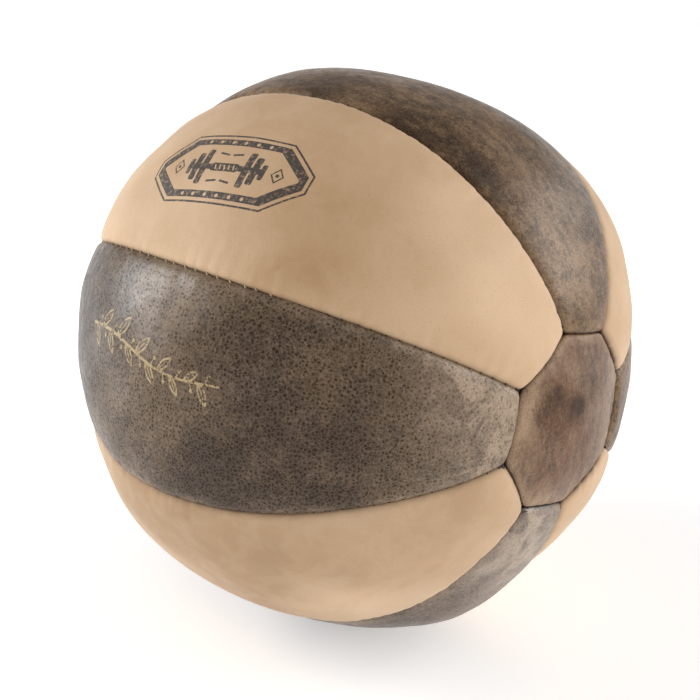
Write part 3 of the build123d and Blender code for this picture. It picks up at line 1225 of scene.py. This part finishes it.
def jacket_radius(out, theta, angle):
    """Skin of the wadding: it follows the gores, with a trough for each turned-in seam."""
    base = uneven(WADDING_RADIUS, out * WADDING_ABOUT, WADDING_NOISE)
    trough = np.zeros_like(base)
    for seam in range(GORES):
        off = (angle - seam_angle(seam, theta) + 180) % 360 - 180
        away = np.abs(np.radians(off)) * np.sin(np.radians(theta)) * WADDING_ABOUT
        trough = np.maximum(trough, np.exp(-((away / TROUGH_REACH) ** 2)))
    ends = np.exp(-(((theta - 90 - (90 - CORNER_ANGLE + 1.5) * np.sign(theta - 90)) / 2.2) ** 2))
    flatter = 2.0 * MM * np.cos(np.radians(theta)) ** 6
    return base - TROUGH_DEPTH * np.maximum(trough, ends) - flatter


def stuffing_radius(out, theta, angle):
    """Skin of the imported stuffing."""
    return uneven(STUFFING_RADIUS, out * STUFFING_ABOUT, STUFFING_NOISE)


def inner_radius(out, theta, angle):
    """Inside of the wadding, just clear of the stuffing."""
    return stuffing_radius(out, theta, angle) + SHELL_CLEARANCE


wadding = fibre_ball("wadding_jacket_felt", WADDING, 160, 320, jacket_radius, inner_radius)
fibre = fibre_ball("stuffing_fibre", STUFFING, 90, 180, stuffing_radius)
for obj, node, finish in ((wadding, "wadding_jacket", "wadding"), (fibre, "stuffing", "stuffing")):
    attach(obj, "root")
    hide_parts(node)

# ---- floor, light, camera
FLOOR_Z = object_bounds()[0].z - 0.0002
FLOOR_REACH = 18.0
FLAT_SHARE = 0.6
BACKDROP_HEIGHT = 2.6
PAPER_WHITE = (0.95, 0.95, 0.95, 1)


def paper_material(name):
    """White paper that glows a little, so that it stays pale out to its edge."""
    return Nodes(name).finish({
        "Base Color": PAPER_WHITE,
        "Roughness": 0.6,
        "Specular IOR Level": 0.2,
        "Emission Color": PAPER_WHITE,
        "Emission Strength": 0.36,
    })


# the paper lies flat, then curves up far away as a backdrop
turn = np.radians(np.arange(0, 360, 5.0))
reach = FLOOR_REACH * np.concatenate([[0.0, 0.5], np.linspace(FLAT_SHARE, 1.0, 9)])
curved = np.clip(reach / FLOOR_REACH - FLAT_SHARE, 0, 1) / (1 - FLAT_SHARE)
climb = BACKDROP_HEIGHT * curved**2
paper = np.empty((len(reach), len(turn), 3))
paper[..., 0] = reach[:, None] * np.cos(turn)
paper[..., 1] = reach[:, None] * np.sin(turn)
paper[..., 2] = FLOOR_Z + climb[:, None]
around = len(turn)
ring_quads = grid_faces(len(reach) - 1, around, wrap=True, start=1).tolist()
fan = [[0, 1 + j, 1 + (j + 1) % around] for j in range(around)]
points = np.vstack([paper[0, :1], paper[1:].reshape(-1, 3)])
faces = fan + [quad[::-1] for quad in ring_quads]
floor = new_object("floor", points, faces, paper_material("floor_paper"))

CAMERA_AZIMUTH = 41.2
CAMERA_ELEVATION = 23.9
CAMERA_DISTANCE = 0.70
LENS = 70.8
CAMERA_SHIFT = (-0.00586, -0.00557)


def toward(azimuth, elevation):
    """Unit vector from the ball towards a viewer."""
    a, e = math.radians(azimuth), math.radians(elevation)
    return Vector((math.sin(a) * math.cos(e), -math.cos(a) * math.cos(e), math.sin(e)))


def place_and_aim(name, data, azimuth, elevation, distance):
    """An object in the scene that looks at the ball's centre."""
    obj = bpy.data.objects.new(name, data)
    bpy.context.scene.collection.objects.link(obj)
    obj.location = toward(azimuth, elevation) * distance
    obj.rotation_euler = (-obj.location).to_track_quat("-Z", "Y").to_euler()
    return obj


camera_data = bpy.data.cameras.new("camera")
camera_data.lens = LENS
camera_data.sensor_width = 36.0
camera_data.shift_x, camera_data.shift_y = CAMERA_SHIFT
camera_data.clip_start = 0.01
view_from = (CAMERA_AZIMUTH, CAMERA_ELEVATION, CAMERA_DISTANCE)
bpy.context.scene.camera = place_and_aim("camera", camera_data, *view_from)


def studio_light(name, kind, azimuth, elevation, distance, power):
    """A light turned to the ball. Its data is returned, to be given a size."""
    data = bpy.data.lights.new(name, kind)
    data.energy = power
    place_and_aim(name, data, azimuth, elevation, distance)
    return data


window = studio_light("window", "AREA", -57, 21, 1.5, 15.5)
window.shape, window.size, window.color = "SQUARE", 0.85, (0.92, 0.96, 1.0)
for name, azimuth, elevation, power in (("right_light", 120, 30, 1.20), ("rim_light", 150, 5, 1.6)):
    studio_light(name, "SUN", azimuth, elevation, 2.0, power).angle = math.radians(60)

world = bpy.data.worlds.new("studio")
world.use_nodes = True
sky = world.node_tree.nodes["Background"].inputs
sky["Color"].default_value = (1, 1, 1, 1)
sky["Strength"].default_value = 0.40
bpy.context.scene.world = world
bpy.context.scene.view_settings.view_transform = "Standard"
